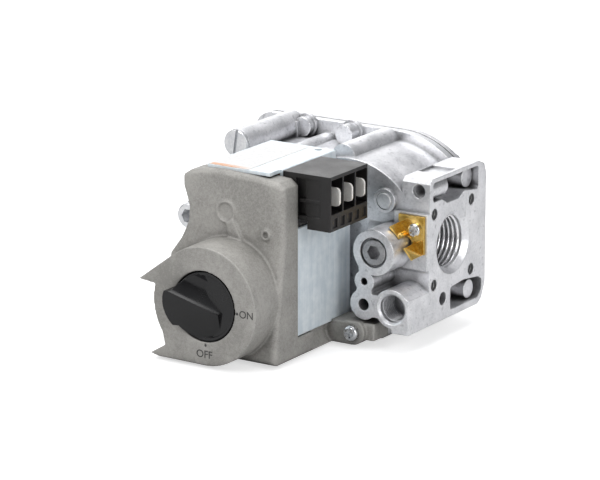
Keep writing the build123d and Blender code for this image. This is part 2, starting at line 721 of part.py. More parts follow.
def terminal_block():
    solid = block(block_left, block_right, block_front, block_rear, block_bottom, block_top)
    solid = fillet(solid.edges().filter_by(Axis.Z), 0.5)
    # hollow front, shallower in front of the first cavity, and the lower corner cut away
    cavity_floor = block_right - cavity_depth
    solid -= block(casting_right - 1, cavity_floor - block_wall, block_front, block_front + 1.4,
                   block_bottom + 4.4, block_top - 1.6)
    solid -= block(cavity_floor - block_wall, block_right - 4.0, block_front,
                   block_front + block_wall / 2, block_bottom + 4.4, block_top - 1.6)
    solid -= block(casting_right - 1, block_right - 9.0, block_front, block_front + 9.0,
                   block_bottom, block_bottom + 3.0)
    solid += block(block_right - 12.0, block_right - 4.0, block_front + 0.1,
                   block_front + block_wall, block_bottom + 9.0, block_bottom + 10.2)
    for y in terminal_places():
        solid -= block(cavity_floor, block_right, y - cavity_width / 2,
                       y + cavity_width / 2, terminal_z - 5.6, block_top - 1.2)
        solid -= block(block_left + 3, cavity_floor, y - tab_thickness / 2,
                       y + tab_thickness / 2, terminal_z - tab_width / 2, terminal_z + tab_width / 2)
    # ribs under the cavities
    for index in range(5):
        y = block_front + 2.0 + index * 4.5
        solid -= block(block_right - 0.5, block_right, y, y + 2.6, block_bottom + 1.0,
                       block_bottom + 4.2)
    return solid


def terminal_spades():
    spades = []
    for y in terminal_places():
        tab = block(block_left + 3, block_right + tab_proud, y - tab_thickness / 2, y + tab_thickness / 2,
                    terminal_z - tab_width / 2, terminal_z + tab_width / 2)
        tip = tab.edges().filter_by(Axis.Y).group_by(Axis.X)[-1]
        tab = fillet(tip, 1.6)
        tab -= rod_y(0.7, y - 1, y + 1, block_right + tab_proud - 4.2, terminal_z)
        spades.append(tab)
    return Compound(children=spades)


def ground_clip():
    """Earth terminal: a plate under the screw, with two legs folded out towards the front."""
    rear = -hub_radius
    front = rear - clip_sheet
    high, low = (-10.0, 10.0), (-1.2, -0.6)
    plate = flat_polygon([(-10.9, 12.6), (-0.8, 12.6), (-0.8, -0.6), low, high, (-10.9, 10.0)])
    solid = prism_y(plate, front, rear)
    along = Vector(low[0] - high[0], 0, low[1] - high[1]).normalized()
    outward = Vector(along.Z, 0, -along.X) * math.cos(math.radians(clip_fold))
    outward += Vector(0, -math.sin(math.radians(clip_fold)), 0)
    fold = Plane(origin=(high[0], front, high[1]), x_dir=along, z_dir=along.cross(outward))
    width = math.hypot(low[0] - high[0], low[1] - high[1])
    flap = Pos(width / 2, clip_leg / 2 - 0.4) * Rectangle(width, clip_leg)
    flap -= Pos(width * 0.52, clip_leg * 0.75) * Rectangle(width * 0.26, clip_leg)
    flap -= Pos(width * 0.52, clip_leg * 0.28) * Circle(width * 0.13)
    solid += extrude(fold * flap, amount=clip_sheet)
    # the lower leg clears the round tapping boss
    solid -= rod_y(tap_boss_radius + 0.15, tap_face, rear, tap_x, tap_z)
    return solid - rod_y(1.7, front - 1, rear, clip_screw_x, clip_screw_z)


def ground_screw():
    return pan_screw(2.3, 1.4, 1.5, 4.2, -hub_radius - 0.8, clip_screw_x, clip_screw_z, 0.6)


# ---- Regulator ----------------------------------------------------------------------

def regulator_cap():
    head = rod_y(tower_radius - 0.15, tower_front - 1.4, tower_front, tower_x, tower_z)
    head = fillet(head.faces().sort_by(Axis.Y)[0].edges(), 0.4)
    cap = head + rod_y(tower_bore, tower_front, tower_front + 4, tower_x, tower_z)
    slot = block(-0.5, 0.5, tower_front - 1.4, tower_front - 0.5, -6, 6)
    return cap - Pos(tower_x, 0, tower_z) * Rot(0, 8, 0) * slot


def regulator_adjust_screw():
    screw = rod_y(tower_bore - running_gap, tower_front + 7.5, tower_front + 11.5, tower_x, tower_z)
    return screw - hex_y(3.0, tower_front + 7.5, tower_front + 9.5, tower_x, tower_z)


def regulator_spring_seat():
    seat = tower_front + 11.5
    washer = rod_y(tower_bore - 0.2, seat, seat + 1.0, tower_x, tower_z)
    return washer + rod_y(1.5, seat + 1.0, seat + 3.0, tower_x, tower_z)


def regulator_spring():
    return coil_spring(2.8, 0.35, tower_front + 12.5, 4.6, 6, tower_x, tower_z)


def servo_poppet():
    poppet = rod_y(tower_bore - 0.3, 4.6, 5.8, tower_x, tower_z)
    return poppet + cone_y(2.4, 1.4, 5.8, 8.0, tower_x, tower_z)


def servo_seat():
    return ring_y(tower_bore, 1.2, 8.0, 9.0, tower_x, tower_z)


# ---- Tappings, pilot adjuster and inlet screen --------------------------------------

def outlet_tap_plug():
    head = rod_y(tap_plug_radius, tap_face + 0.2, tap_face + 1.2, tap_x, tap_z)
    head = fillet(head.faces().sort_by(Axis.Y)[0].edges(), 0.5)
    plug = head + rod_y(4.2, tap_face + 1.2, tap_face + 8.0, tap_x, tap_z)
    return plug - hex_y(tap_hex, tap_face, tap_face + 4.0, tap_x, tap_z)


def inlet_tap_plug():
    plug = rod_y(4.5, -30.0, -24.0, inlet_tap_x, inlet_tap_z)
    plug = fillet(plug.faces().sort_by(Axis.Y)[0].edges(), 0.6)
    plug += rod_y(3.8, -24.0, -17.4, inlet_tap_x, inlet_tap_z)
    return plug - hex_y(tap_hex, -30.0, -26.0, inlet_tap_x, inlet_tap_z)


def passage_plug():
    """Round disc pressed into the blind boss of the front wall."""
    button = rod_y(2.7, body_front - 2.0, body_front - 1.2, plug_boss_x, plug_boss_z)
    button = fillet(button.faces().sort_by(Axis.Y)[0].edges(), 0.3)
    return button + rod_y(3.1, body_front - 1.2, body_front - 0.4, plug_boss_x, plug_boss_z)


def pilot_adjust_screw():
    screw = rod_y(adjuster_bore - running_gap, -23.5, -20.0, adjuster_x, adjuster_z)
    return screw - block(adjuster_x - 2, adjuster_x + 2, -23.5, -22.6,
                         adjuster_z - 0.35, adjuster_z + 0.35)


def pilot_needle():
    needle = rod_y(adjuster_bore - running_gap, -20.0, -17.5, adjuster_x, adjuster_z)
    return needle + cone_y(1.4, 0.4, -17.5, -14.6, adjuster_x, adjuster_z)


def inlet_screen():
    """Perforated strainer thimble seated at the end of the inlet thread."""
    inner_end = inlet_face + port_thread_length
    screen = rod_x(passage_radius, inner_end, inner_end + 8)
    screen -= rod_x(passage_radius - 0.5, inner_end, inner_end + 7.5)
    for angle in range(0, 180, 30):
        screen -= Pos(inner_end + 4, 0, 0) * Rot(angle, 0, 0) * Cylinder(1.4, 40)
    return screen


# ---- Writing the pieces -------------------------------------------------------------

def all_nodes():
    nodes = {
        "valve_body": valve_body(),
        "back_cover": back_cover(),
        "back_cover_screws": cover_screws(),
        "main_diaphragm": main_diaphragm(),
        "diaphragm_plates": diaphragm_plates(),
        "main_valve_stem": main_valve_stem(),
        "main_valve_disc": main_valve_disc(),
        "main_valve_spring": main_valve_spring(),
        "operator_casting": operator_casting(),
        "foot_screw": foot_screw(),
        "control_knob": control_knob(),
        "knob_shaft": knob_shaft(),
        "knob_washer": knob_washer(),
        "shaft_seal": shaft_seal(),
        "shutoff_plug": shutoff_plug(),
        "plug_retaining_ring": plug_retaining_ring(),
        "solenoid_cover": solenoid_cover(),
        "solenoid_cover_screw": solenoid_cover_screw(),
        "rating_label": rating_label(),
        "terminal_block": terminal_block(),
        "terminal_spades": terminal_spades(),
        "ground_clip": ground_clip(),
        "ground_screw": ground_screw(),
        "regulator_cap": regulator_cap(),
        "regulator_adjust_screw": regulator_adjust_screw(),
        "regulator_spring_seat": regulator_spring_seat(),
        "regulator_spring": regulator_spring(),
        "servo_poppet": servo_poppet(),
        "servo_seat": servo_seat(),
        "outlet_tap_plug": outlet_tap_plug(),
        "inlet_tap_plug": inlet_tap_plug(),
        "passage_plug": passage_plug(),
        "pilot_adjust_screw": pilot_adjust_screw(),
        "pilot_needle": pilot_needle(),
        "inlet_screen": inlet_screen(),
    }
    for name in coil_centres:
        nodes[name + "_coil_bobbin"] = coil_bobbin(name)
        nodes[name + "_coil_winding"] = coil_winding(name)
        nodes[name + "_coil_yoke"] = coil_yoke(name)
        nodes[name + "_plunger_tube"] = plunger_tube(name)
        nodes[name + "_fixed_core"] = fixed_core(name)
        nodes[name + "_plunger"] = plunger(name)
        nodes[name + "_plunger_seal"] = plunger_seal(name)
        nodes[name + "_plunger_spring"] = plunger_spring(name)
    return nodes


os.makedirs("parts", exist_ok=True)
for node_name, shape in all_nodes().items():
    export_step(shape, "parts/" + node_name + ".step")
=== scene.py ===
# %% [markdown]
# # A combination gas valve
#
# This notebook dresses the CAD model of a small boiler gas valve.  The CAD solids give
# every size.  Blender adds what a drawing leaves out: the cast skin with its soft edges,
# the threads, the printed words, the finishes, and a plain studio to see them in.

# %% Load the frame
import json
import math

import bmesh
import bpy
from mathutils import Matrix, Vector


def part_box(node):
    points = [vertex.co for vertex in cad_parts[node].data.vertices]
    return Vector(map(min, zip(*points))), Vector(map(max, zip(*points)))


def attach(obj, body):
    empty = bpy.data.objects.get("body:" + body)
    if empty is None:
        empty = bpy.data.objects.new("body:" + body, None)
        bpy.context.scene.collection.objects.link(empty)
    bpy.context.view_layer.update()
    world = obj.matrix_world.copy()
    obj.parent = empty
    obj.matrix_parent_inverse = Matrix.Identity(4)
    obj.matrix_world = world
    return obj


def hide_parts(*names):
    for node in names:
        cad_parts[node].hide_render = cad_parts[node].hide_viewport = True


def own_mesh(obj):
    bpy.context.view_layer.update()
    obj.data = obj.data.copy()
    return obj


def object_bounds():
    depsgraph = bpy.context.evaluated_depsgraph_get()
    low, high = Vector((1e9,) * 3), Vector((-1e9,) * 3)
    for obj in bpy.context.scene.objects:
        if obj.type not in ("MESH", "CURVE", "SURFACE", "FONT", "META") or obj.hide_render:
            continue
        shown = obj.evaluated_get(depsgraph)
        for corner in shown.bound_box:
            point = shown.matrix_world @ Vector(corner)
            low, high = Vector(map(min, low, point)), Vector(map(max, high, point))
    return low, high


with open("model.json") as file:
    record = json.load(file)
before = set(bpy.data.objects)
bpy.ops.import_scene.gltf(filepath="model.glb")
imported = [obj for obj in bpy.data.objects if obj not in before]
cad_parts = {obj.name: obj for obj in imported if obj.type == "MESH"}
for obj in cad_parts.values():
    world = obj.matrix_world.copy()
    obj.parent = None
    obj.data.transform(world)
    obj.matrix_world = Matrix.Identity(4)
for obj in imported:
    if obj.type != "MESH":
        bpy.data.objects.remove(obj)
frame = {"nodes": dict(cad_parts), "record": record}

cad_box = [list(corner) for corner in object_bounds()]
MM = 0.001
nodes = frame["nodes"]
print("CAD nodes:", len(nodes), "box:", cad_box)


# %% [markdown]
# ## The camera
#
# A product shot like this is taken from well back with a long lens, so parallel edges
# stay nearly parallel.  The camera looks from the front right, a little from above.
# Its place is worked out from two angles and a distance, and it aims at one fixed point.

# %% Camera
AZIMUTH, ELEVATION = math.radians(32.8), math.radians(15.3)
AIM = Vector((-44.1, -28.4, 0.7)) * MM
DISTANCE = 1.18

back = Vector((math.sin(AZIMUTH) * math.cos(ELEVATION),
               -math.cos(AZIMUTH) * math.cos(ELEVATION),
               math.sin(ELEVATION)))
camera_data = bpy.data.cameras.new("studio_camera")
camera_data.lens = 206.4
camera_data.sensor_width = 36.0
camera_data.clip_end = 20.0
camera = bpy.data.objects.new("studio_camera", camera_data)
camera.location = AIM + back * DISTANCE
camera.rotation_euler = back.to_track_quat("Z", "Y").to_euler()
bpy.context.scene.collection.objects.link(camera)
bpy.context.scene.camera = camera
print("camera at", tuple(round(value, 3) for value in camera.location))


# %% [markdown]
# ## Shader sums in plain Python
#
# A procedural finish is mostly arithmetic on noise.  Wiring Math nodes by hand hides the
# formula, so a small class wraps a socket and lets `a * 0.5 + b` build the nodes.
# Everything else goes through one method, `node`, which takes the node's type, its
# settings, and what to plug into its sockets.

# %% The wrapper and the finish builder
class Value:
    """An output socket that can be used in a sum."""

    def __init__(self, finish, socket):
        self.finish = finish
        self.socket = socket

    def __getitem__(self, output):
        return Value(self.finish, self.socket.node.outputs[output])

    def sum(self, operation, first, second):
        return self.finish.node("ShaderNodeMath", {"operation": operation},
                                {0: first, 1: second})

    def __add__(self, other):
        return self.sum("ADD", self, other)

    def __sub__(self, other):
        return self.sum("SUBTRACT", self, other)

    def __rsub__(self, other):
        return self.sum("SUBTRACT", other, self)

    def __mul__(self, other):
        return self.sum("MULTIPLY", self, other)

    def __lt__(self, other):
        return self.sum("LESS_THAN", self, other)

    __radd__ = __add__
    __rmul__ = __mul__


class Finish:
    """A material under construction."""

    def __init__(self, name):
        self.material = bpy.data.materials.new(name)
        self.material.use_nodes = True
        self.tree = self.material.node_tree
        self.tree.nodes.clear()
        self.place = self.node("ShaderNodeTexCoord")["Object"]

    def node(self, kind, settings=None, inputs=None):
        made = self.tree.nodes.new(kind)
        for name, setting in (settings or {}).items():
            setattr(made, name, setting)
        for name, value in (inputs or {}).items():
            if isinstance(value, Value):
                self.tree.links.new(value.socket, made.inputs[name])
            else:
                made.inputs[name].default_value = value
        return Value(self, made.outputs[0]) if made.outputs else made

    def noise(self, scale, detail=3.0, roughness=0.55, place=None):
        return self.node("ShaderNodeTexNoise", {},
                         {"Vector": place or self.place, "Scale": scale, "Detail": detail,
                          "Roughness": roughness})

    def mix(self, factor, first, second):
        """Mixes two colours."""
        def colour(value):
            return value if isinstance(value, Value) else (*value, 1.0)
        made = self.node("ShaderNodeMix", {"data_type": "RGBA"},
                         {0: factor, 6: colour(first), 7: colour(second)})
        return made[2]

    def between(self, value, low, high, to_low=0.0, to_high=1.0):
        """Stretches value from low..high to to_low..to_high, clamped."""
        return self.node("ShaderNodeMapRange", {},
                         {0: value, 1: low, 2: high, 3: to_low, 4: to_high})

    def stretched(self, scale):
        """Object coordinates, scaled by a different factor along each axis."""
        return self.node("ShaderNodeMapping", {}, {"Vector": self.place, "Scale": scale})

    def axes(self):
        parts = self.node("ShaderNodeSeparateXYZ", {}, {0: self.place})
        return parts["X"], parts["Y"], parts["Z"]

    def soft_edges(self, radius):
        """A normal that rounds every sharp edge a little, as on a real casting."""
        return self.node("ShaderNodeBevel", {"samples": 6}, {"Radius": radius})

    def hollows(self, distance):
        """1 in the open, falling towards 0 in corners and bores."""
        return self.node("ShaderNodeAmbientOcclusion", {"samples": 8},
                         {"Distance": distance})["AO"]

    def edge_highlight_mask(self, radius):
        """1 along sharp outer edges: the mask for a painted edge highlight."""
        flat = self.node("ShaderNodeNewGeometry")["True Normal"]
        bend = self.node("ShaderNodeVectorMath", {"operation": "DOT_PRODUCT"},
                         {0: self.soft_edges(radius), 1: flat})["Value"]
        return self.between(bend, 0.97, 0.80) * self.between(self.hollows(radius * 4), 0.75, 0.95)

    def relief(self, height, distance, normal=None):
        inputs = {"Height": height, "Distance": distance, "Strength": 1.0}
        if normal:
            inputs["Normal"] = normal
        return self.node("ShaderNodeBump", {}, inputs)

    def done(self, **sockets):
        names = {"colour": "Base Color", "glow": "Emission Strength",
                 "glow_colour": "Emission Color", "roughness": "Roughness",
                 "metallic": "Metallic", "normal": "Normal",
                 "specular": "Specular IOR Level"}
        inputs = {}
        for key, value in sockets.items():
            if key in ("colour", "glow_colour") and not isinstance(value, Value):
                value = (*value, 1.0)
            inputs[names[key]] = value
        shader = self.node("ShaderNodeBsdfPrincipled", {}, inputs)
        self.node("ShaderNodeOutputMaterial", {}, {"Surface": shader})
        return self.material


# %% [markdown]
# ## Bright die-cast aluminium
#
# The body is pressure die cast, then tumbled.  Its skin is bright and satin, never a
# mirror: clouds of slightly different grey where the melt flowed, a fine grain, and
# small dull flecks.  Two scales of noise drive both the colour and the roughness, and a
# third gives a skin of a few hundredths of a millimetre.  Painted shade darkens the
# colour in corners, from an ambient occlusion node, and a painted highlight brightens
# the sharp edges, found where a rounded normal and the true one disagree; the roughness
# is lower there too.

# %% Die-cast aluminium
def cast_aluminium(name, tone, edge=0.45 * MM):
    finish = Finish(name)
    clouds = finish.noise(120.0, 5.0, 0.65)
    grain = finish.noise(1500.0, 3.0, 0.7)
    flecks = finish.between(finish.noise(560.0, 3.0), 0.60, 0.70)
    shade = clouds * 0.6 + grain * 0.4
    bright = tuple(channel * tone for channel in (0.93, 0.93, 0.95))
    dull = tuple(channel * tone for channel in (0.65, 0.655, 0.675))
    colour = finish.mix(finish.between(shade, 0.36, 0.62), dull, bright)
    colour = finish.mix(flecks * 0.4, colour, (0.27 * tone, 0.27 * tone, 0.285 * tone))
    # painted shade: the colour darkens in corners and bores, from ambient occlusion
    painted_shade = finish.between(finish.hollows(4.0 * MM), 0.25, 0.9)
    colour = finish.mix(painted_shade, (0.16 * tone, 0.16 * tone, 0.165 * tone), colour)
    # painted highlight: the colour brightens along sharp outer edges, where the roughness also
    # drops
    edges = finish.edge_highlight_mask(0.5 * MM)
    colour = finish.mix(edges * 0.8, colour, (0.93, 0.93, 0.94))
    rough = finish.between(shade, 0.35, 0.65, 0.30, 0.48) - edges * 0.12
    skin = finish.noise(420.0, 2.0)
    normal = finish.relief(skin * 0.6 + grain * 0.4, 0.05 * MM, finish.soft_edges(edge))
    return finish.done(colour=colour, roughness=rough, metallic=0.85, normal=normal)


body_metal = cast_aluminium("body_cast_aluminium", 1.0)
cover_metal = cast_aluminium("cover_cast_aluminium", 0.93)


# %% [markdown]
# ## The warm grey operator casting
#
# The front casting is left as blasted: a matt, slightly warm grey with no gloss at all.
# A real one scatters light almost like stone, so the metal is mixed well down, the
# roughness is high, and a pitted bump does most of the work.  As on the bright casting,
# painted shade darkens its corners and a painted highlight lightens its edges.

# %% Blasted grey casting
def blasted_casting():
    finish = Finish("blasted_grey_casting")
    clouds = finish.noise(70.0, 4.0)
    grain = finish.noise(2300.0, 2.0, 0.6)
    pits = finish.noise(900.0, 3.0, 0.6)
    shade = clouds * 0.45 + grain * 0.3 + pits * 0.25
    colour = finish.mix(finish.between(shade, 0.4, 0.6), (0.275, 0.268, 0.250),
                        (0.420, 0.408, 0.385))
    # painted shade: the colour darkens in corners and bores, from ambient occlusion
    painted_shade = finish.between(finish.hollows(4.0 * MM), 0.3, 0.9)
    colour = finish.mix(painted_shade, (0.10, 0.095, 0.088), colour)
    # painted highlight: the colour pales along sharp outer edges
    colour = finish.mix(finish.edge_highlight_mask(0.6 * MM) * 0.5, colour, (0.60, 0.59, 0.565))
    normal = finish.relief(pits * 0.5 + grain * 0.5, 0.045 * MM, finish.soft_edges(0.5 * MM))
    return finish.done(colour=colour, roughness=0.62, metallic=0.35, normal=normal)


casting_metal = blasted_casting()


# %% [markdown]
# ## Zinc plate, turned zinc and plated screws
#
# Sheet steel that is zinc plated and blue passivated is pale blue-grey, with faint
# streaks along the direction in which it was rolled.  Noise that is squeezed along X and
# Y and stretched along Z gives streaks that run up the cover.

# %% Plated metals
def zinc_sheet():
    finish = Finish("zinc_plated_sheet")
    streaks = finish.noise(1.0, 3.0, place=finish.stretched((420.0, 420.0, 34.0)))
    spangle = finish.noise(240.0, 4.0, 0.65)
    shade = streaks * 0.5 + spangle * 0.5
    colour = finish.mix(finish.between(shade, 0.4, 0.6), (0.70, 0.78, 0.83),
                        (0.86, 0.92, 0.95))
    rough = finish.between(shade, 0.35, 0.65, 0.36, 0.5)
    normal = finish.relief(shade, 0.02 * MM, finish.soft_edges(0.3 * MM))
    return finish.done(colour=colour, roughness=rough, metallic=0.35, normal=normal)


def plated(name, dark, light, rough, edge=0.2 * MM, metallic=1.0):
    """A small turned or headed part with a plated skin."""
    finish = Finish(name)
    grain = finish.noise(1400.0, 3.0, 0.65)
    clouds = finish.noise(260.0, 2.0)
    shade = grain * 0.5 + clouds * 0.5
    colour = finish.mix(finish.between(shade, 0.38, 0.62), dark, light)
    roughness = finish.between(shade, 0.35, 0.65, rough - 0.06, rough + 0.07)
    normal = finish.relief(grain, 0.004 * MM, finish.soft_edges(edge))
    return finish.done(colour=colour, roughness=roughness, metallic=metallic, normal=normal)


zinc_metal = zinc_sheet()
screw_metal = plated("bright_zinc_screws", (0.62, 0.63, 0.65), (0.86, 0.87, 0.88), 0.26)
cap_metal = plated("pale_turned_zinc", (0.70, 0.71, 0.73), (0.90, 0.905, 0.91), 0.42)
plug_metal = plated("grey_tapping_plug", (0.36, 0.36, 0.37), (0.58, 0.58, 0.59), 0.36)
# painted shade: a near-black finish for the screw deep in its hole, standing in for the shade
# there
hole_shade_black = plated("screw_painted_hole_shade", (0.05, 0.05, 0.05), (0.10, 0.10, 0.10), 0.4)
tin_metal = plated("tinned_brass", (0.84, 0.81, 0.76), (0.96, 0.94, 0.90), 0.34,
                   metallic=0.4)
gold_metal = plated("gold_passivated_steel", (0.84, 0.52, 0.11), (0.98, 0.70, 0.24), 0.17)
cut_metal = plated("cut_thread", (0.78, 0.78, 0.79), (0.93, 0.93, 0.94), 0.22)
steel_metal = plated("machined_steel", (0.46, 0.46, 0.47), (0.62, 0.62, 0.63), 0.32)
brass_metal = plated("turned_brass", (0.62, 0.43, 0.17), (0.83, 0.64, 0.33), 0.28)
spring_metal = plated("spring_wire", (0.42, 0.43, 0.45), (0.60, 0.61, 0.63), 0.3)


# %% [markdown]
# ## Mouldings, rubber, film and wire
#
# The knob and the terminal block are black mouldings.  Black plastic shows mostly by
# its reflections, so its colour stays near black and the fine grain of the tool's
# surface goes into the roughness and a shallow bump.

# %% Mouldings and the rest
def moulding(name, dark, light, rough, specular=0.5, grain_depth=0.012 * MM,
             edge=0.25 * MM):
    finish = Finish(name)
    grain = finish.noise(2600.0, 2.0, 0.6)
    clouds = finish.noise(150.0, 3.0)
    colour = finish.mix(finish.between(clouds, 0.35, 0.65), dark, light)
    roughness = finish.between(grain * 0.5 + clouds * 0.5, 0.35, 0.65, rough - 0.06,
                               rough + 0.08)
    normal = finish.relief(grain, grain_depth, finish.soft_edges(edge))
    return finish.done(colour=colour, roughness=roughness, normal=normal,
                       specular=specular)


def coil_wire():
    """Enamelled copper, wound in fine turns about an axis along Y."""
    finish = Finish("enamelled_copper_wire")
    turns = finish.node("ShaderNodeTexWave", {"bands_direction": "Y"},
                        {"Vector": finish.place, "Scale": 650.0})
    colour = finish.mix(turns["Fac"], (0.30, 0.09, 0.03), (0.62, 0.25, 0.09))
    normal = finish.relief(turns["Fac"], 0.08 * MM)
    return finish.done(colour=colour, roughness=0.32, metallic=0.8, normal=normal)


def label_film():
    """White film with a worn orange strip along its front edge that fades to the right."""
    finish = Finish("label_film")
    x, y, z = finish.axes()
    paper = finish.noise(900.0, 2.0)
    white = finish.mix(finish.between(paper, 0.35, 0.65), (0.60, 0.60, 0.595),
                       (0.68, 0.68, 0.675))
    strip = (y < -56.4 * MM) * finish.between(x, -61.0 * MM, -60.0 * MM)
    fade = finish.between(x, -52.0 * MM, -44.0 * MM, 1.0, 0.0)
    worn = finish.between(finish.noise(500.0, 3.0), 0.3, 0.6, 0.45, 0.9)
    colour = finish.mix(strip * fade * worn, white, (0.62, 0.25, 0.07))
    normal = finish.relief(paper, 0.01 * MM)
    return finish.done(colour=colour, roughness=0.38, normal=normal)


knob_plastic = moulding("black_knob_moulding", (0.005, 0.005, 0.0055), (0.008, 0.008, 0.0085),
                        0.20, 0.42)
block_plastic = moulding("black_block_moulding", (0.006, 0.0055, 0.0055),
                         (0.010, 0.009, 0.009), 0.36, 0.5)
bobbin_plastic = moulding("natural_nylon", (0.62, 0.58, 0.48), (0.72, 0.69, 0.60), 0.5)
seal_rubber = moulding("nitrile_rubber", (0.018, 0.018, 0.018), (0.030, 0.030, 0.031), 0.7)
ink = moulding("dark_marking_ink", (0.050, 0.049, 0.047), (0.075, 0.073, 0.070), 0.6)
wire = coil_wire()
label = label_film()


# %% [markdown]
# ## Giving each CAD solid its finish
#
# The record names a material slot for every solid.  One table turns slots into finishes,
# and a short second table names the few solids that differ from their slot.

# %% Assign the finishes
slot_finish = {
    "die_cast_aluminium": body_metal,
    "grey_casting": casting_metal,
    "zinc_plate": zinc_metal,
    "steel_screws": screw_metal,
    "pale_zinc": cap_metal,
    "black_knob": knob_plastic,
    "black_block": block_plastic,
    "tinned_brass": tin_metal,
    "gold_passivate": gold_metal,
    "label_film": label,
    "black_rubber": seal_rubber,
    "spring_steel": spring_metal,
    "plain_steel": steel_metal,
    "brass": brass_metal,
    "coil_plastic": bobbin_plastic,
    "enamelled_wire": wire,
}
# the pilot adjust screw takes the near-black finish that paints the shade in its hole
node_finish = {"outlet_tap_plug": plug_metal, "back_cover": cover_metal,
               "pilot_adjust_screw": hole_shade_black}
for part in frame["record"]["subparts"]:
    solid = nodes[part["node"]]
    finish = node_finish.get(part["node"], slot_finish[part["material_slot"]])
    solid.data.materials.clear()
    solid.data.materials.append(finish)


# %% [markdown]
# ## Helpers for new pieces
#
# A finished piece keeps its place in its mesh, with its object at the origin, so the
# patterns on object coordinates lie where the metal is.

# %% Helpers
def new_piece(name, mesh, material, body):
    piece = bpy.data.objects.new(name, mesh)
    bpy.context.scene.collection.objects.link(piece)
    mesh.materials.clear()
    mesh.materials.append(material)
    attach(piece, body)
    return piece


def merged_copy(node_name):
    """A copy of a CAD solid's mesh with its loose triangles joined."""
    mesh = nodes[node_name].data.copy()
    work = bmesh.new()
    work.from_mesh(mesh)
    bmesh.ops.remove_doubles(work, verts=work.verts, dist=0.002 * MM)
    work.to_mesh(mesh)
    work.free()
    return mesh


def plain_mesh(holder, name):
    """The holder's evaluated mesh, with its modifiers and curve bevels made real."""
    graph = bpy.context.evaluated_depsgraph_get()
    mesh = bpy.data.meshes.new_from_object(holder.evaluated_get(graph))
    mesh.name = name
    return mesh


# %% [markdown]
# ## The operator casting's soft edges
#
# Every edge of this casting is round, and its marks melt into the plate.  A bevel on
# hundreds of CAD edges would trip over itself.  Instead a copy of the solid is remeshed
# in small voxels and then smoothed, which rounds every edge by the same amount, as the
# molten metal and the blasting do.

# %% Operator casting
def soft_cast(name, node_name, voxel, rounds, material):
    holder = bpy.data.objects.new(name + "_work", merged_copy(node_name))
    bpy.context.scene.collection.objects.link(holder)
    remesh = holder.modifiers.new("remesh", "REMESH")
    remesh.mode = "VOXEL"
    remesh.voxel_size = voxel
    smooth = holder.modifiers.new("smooth", "SMOOTH")
    smooth.factor = 0.5
    smooth.iterations = rounds
    mesh = plain_mesh(holder, name)
    bpy.data.objects.remove(holder)
    mesh.shade_smooth()
    piece = new_piece(name, mesh, material, "valve")
    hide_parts(node_name)
    print(name, "triangles:", sum(len(face.vertices) - 2 for face in mesh.polygons))
    return piece


soft_cast("operator_casting_soft", "operator_casting", 0.34 * MM, 2, casting_metal)


# %% [markdown]
# ## Threads
#
# A pipe thread is one ridge that winds round a bore: a profile swept along a helix, so
# it is a job for Geometry Nodes.  One tree, with its radius, pitch, length and depth as
# inputs, makes the port threads and every small tapped hole as well.

# %% The thread tree
def thread_tree():
    tree = bpy.data.node_groups.new("helical_thread", "GeometryNodeTree")
    tree.interface.new_socket("Geometry", in_out="OUTPUT", socket_type="NodeSocketGeometry")
    for name in ("Radius", "Pitch", "Length", "Depth"):
        tree.interface.new_socket(name, in_out="INPUT", socket_type="NodeSocketFloat")
    tree.interface.new_socket("Finish", in_out="INPUT", socket_type="NodeSocketMaterial")
    inputs = tree.nodes.new("NodeGroupInput")
    output = tree.nodes.new("NodeGroupOutput")
    turns = tree.nodes.new("ShaderNodeMath")
    turns.operation = "DIVIDE"
    helix = tree.nodes.new("GeometryNodeCurveSpiral")
    helix.inputs["Resolution"].default_value = 48
    upright = tree.nodes.new("GeometryNodeSetCurveNormal")
    upright.mode = "Z_UP"
    ridge = tree.nodes.new("GeometryNodeCurvePrimitiveCircle")
    ridge.inputs["Resolution"].default_value = 4
    sweep = tree.nodes.new("GeometryNodeCurveToMesh")
    sweep.inputs["Fill Caps"].default_value = True
    real = tree.nodes.new("GeometryNodeRealizeInstances")
    finish = tree.nodes.new("GeometryNodeSetMaterial")
    link = tree.links.new
    link(inputs.outputs["Length"], turns.inputs[0])
    link(inputs.outputs["Pitch"], turns.inputs[1])
    link(turns.outputs[0], helix.inputs["Rotations"])
    link(inputs.outputs["Radius"], helix.inputs["Start Radius"])
    link(inputs.outputs["Radius"], helix.inputs["End Radius"])
    link(inputs.outputs["Length"], helix.inputs["Height"])
    link(helix.outputs[0], upright.inputs[0])
    link(upright.outputs[0], sweep.inputs["Curve"])
    link(inputs.outputs["Depth"], ridge.inputs["Radius"])
    link(ridge.outputs[0], sweep.inputs["Profile Curve"])
    link(sweep.outputs[0], real.inputs[0])
    link(real.outputs[0], finish.inputs["Geometry"])
    link(inputs.outputs["Finish"], finish.inputs["Material"])
    link(finish.outputs[0], output.inputs[0])
    return tree


helical_thread = thread_tree()


# %% [markdown]
# A modifier's inputs are set by their identifiers, and before the first evaluation.  The
# helix comes out along Z, so each one is turned to its hole's axis and moved to its
# mouth before it becomes a piece.

# %% Threads in their holes
def thread_in_hole(sizes, mouth, inwards):
    """A thread that starts at mouth and runs along inwards, as a mesh in place."""
    holder = bpy.data.objects.new("thread_work", bpy.data.meshes.new("thread_work"))
    bpy.context.scene.collection.objects.link(holder)
    modifier = holder.modifiers.new("thread", "NODES")
    modifier.node_group = helical_thread
    values = dict(sizes, Finish=cut_metal)
    for item in helical_thread.interface.items_tree:
        if item.in_out == "INPUT":
            modifier[item.identifier] = values[item.name]
    mesh = plain_mesh(holder, "thread")
    bpy.data.objects.remove(holder)
    turn = Vector((0, 0, 1)).rotation_difference(Vector(inwards)).to_matrix().to_4x4()
    mesh.transform(Matrix.Translation(Vector(mouth) * MM) @ turn)
    return mesh


def joined(meshes, name):
    work = bmesh.new()
    for mesh in meshes:
        work.from_mesh(mesh)
    bmesh.ops.recalc_face_normals(work, faces=work.faces)
    whole = bpy.data.meshes.new(name)
    work.to_mesh(whole)
    work.free()
    return whole


